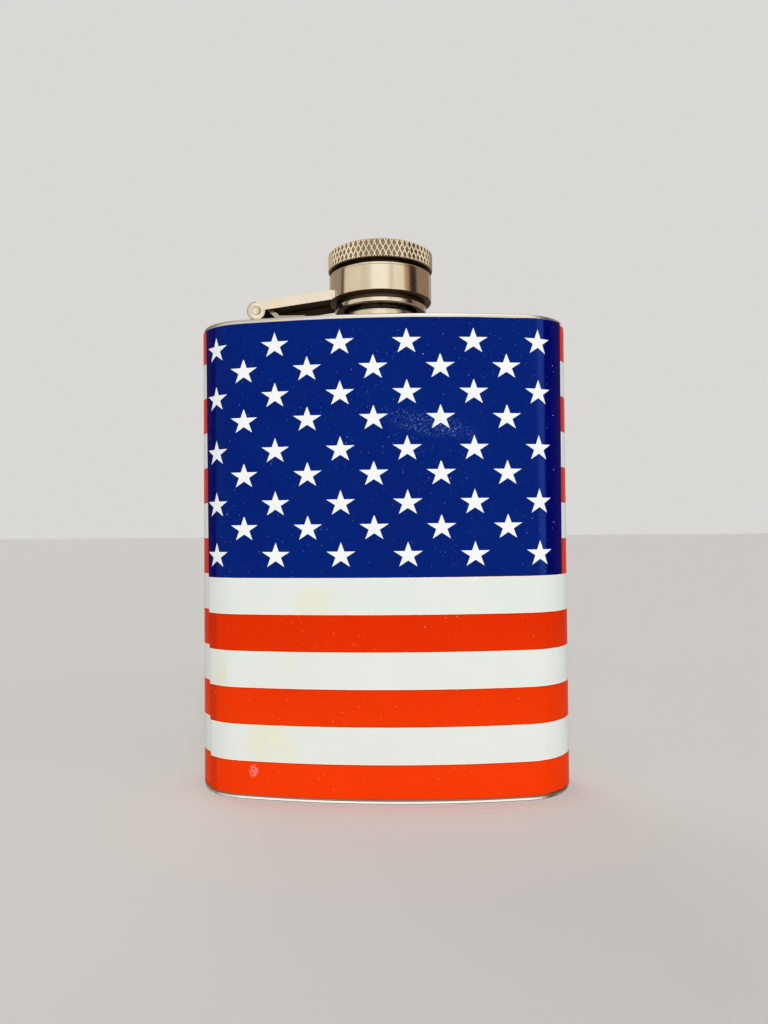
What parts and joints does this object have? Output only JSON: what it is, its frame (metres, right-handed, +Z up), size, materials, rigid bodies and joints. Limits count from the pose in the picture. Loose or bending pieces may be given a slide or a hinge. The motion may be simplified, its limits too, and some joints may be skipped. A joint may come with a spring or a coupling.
{
  "type": "hip flask",
  "caption": "Curved steel pocket flask in a printed star and stripe film wrap, with a knurled screw cap held captive by a hinged arm.",
  "frame": {"origin": "middle of the bottle's base, half way between the bottle's front and back", "axes": "+Z up the bottle towards the cap, -Y out of the convex front, the hinge on -X"},
  "size_m": [0.095, 0.0285, 0.1359],
  "materials": {
    "wall_steel": "brushed stainless steel",
    "plate_steel": "bright satin stainless steel",
    "neck_steel": "turned stainless steel",
    "print": "glossy vinyl film printed with white stars on blue above red and white stripes, lightly scratched",
    "arm_steel": "polished stainless steel",
    "collar_steel": "polished stainless steel",
    "rivet_steel": "satin steel",
    "knob_steel": "polished steel with a diamond knurl",
    "rubber": "soft matte rubber",
    "liner_plastic": "black moulded plastic"
  },
  "bodies": {
    "flask": {"body_wall": "wall_steel", "top_plate": "plate_steel", "bottom_plate": "plate_steel", "neck": "neck_steel", "printed_wrap": "print", "hinge_bracket": "arm_steel"},
    "arm": {"arm": "arm_steel", "collar": "collar_steel", "hinge_rivet": "rivet_steel"},
    "seal": {"sealing_disc": "rubber"},
    "cap": {"cap_knob": "knob_steel", "cap_sleeve": "collar_steel", "cap_liner": "liner_plastic"}
  },
  "joints": [
    {"name": "arm_swing", "type": "hinge", "parent": "flask", "child": "arm", "pos_m": [-0.031, -0.00225, 0.121], "axis": [0, -1, 0], "range_deg": [0, 165]},
    {"name": "cap_rise", "type": "slide", "parent": "arm", "child": "seal", "axis": [0, 0, 1], "range_m": [0, 0.00075]},
    {"name": "cap_turn", "type": "hinge", "parent": "seal", "child": "cap", "pos_m": [0, -0.00225, 0.1314], "axis": [0, 0, 1], "range_deg": [0, 180]}
  ],
  "couplings": [
    {"joint": "cap_rise", "follows": "cap_turn", "m_per_rad": 0.00023873}
  ]
}
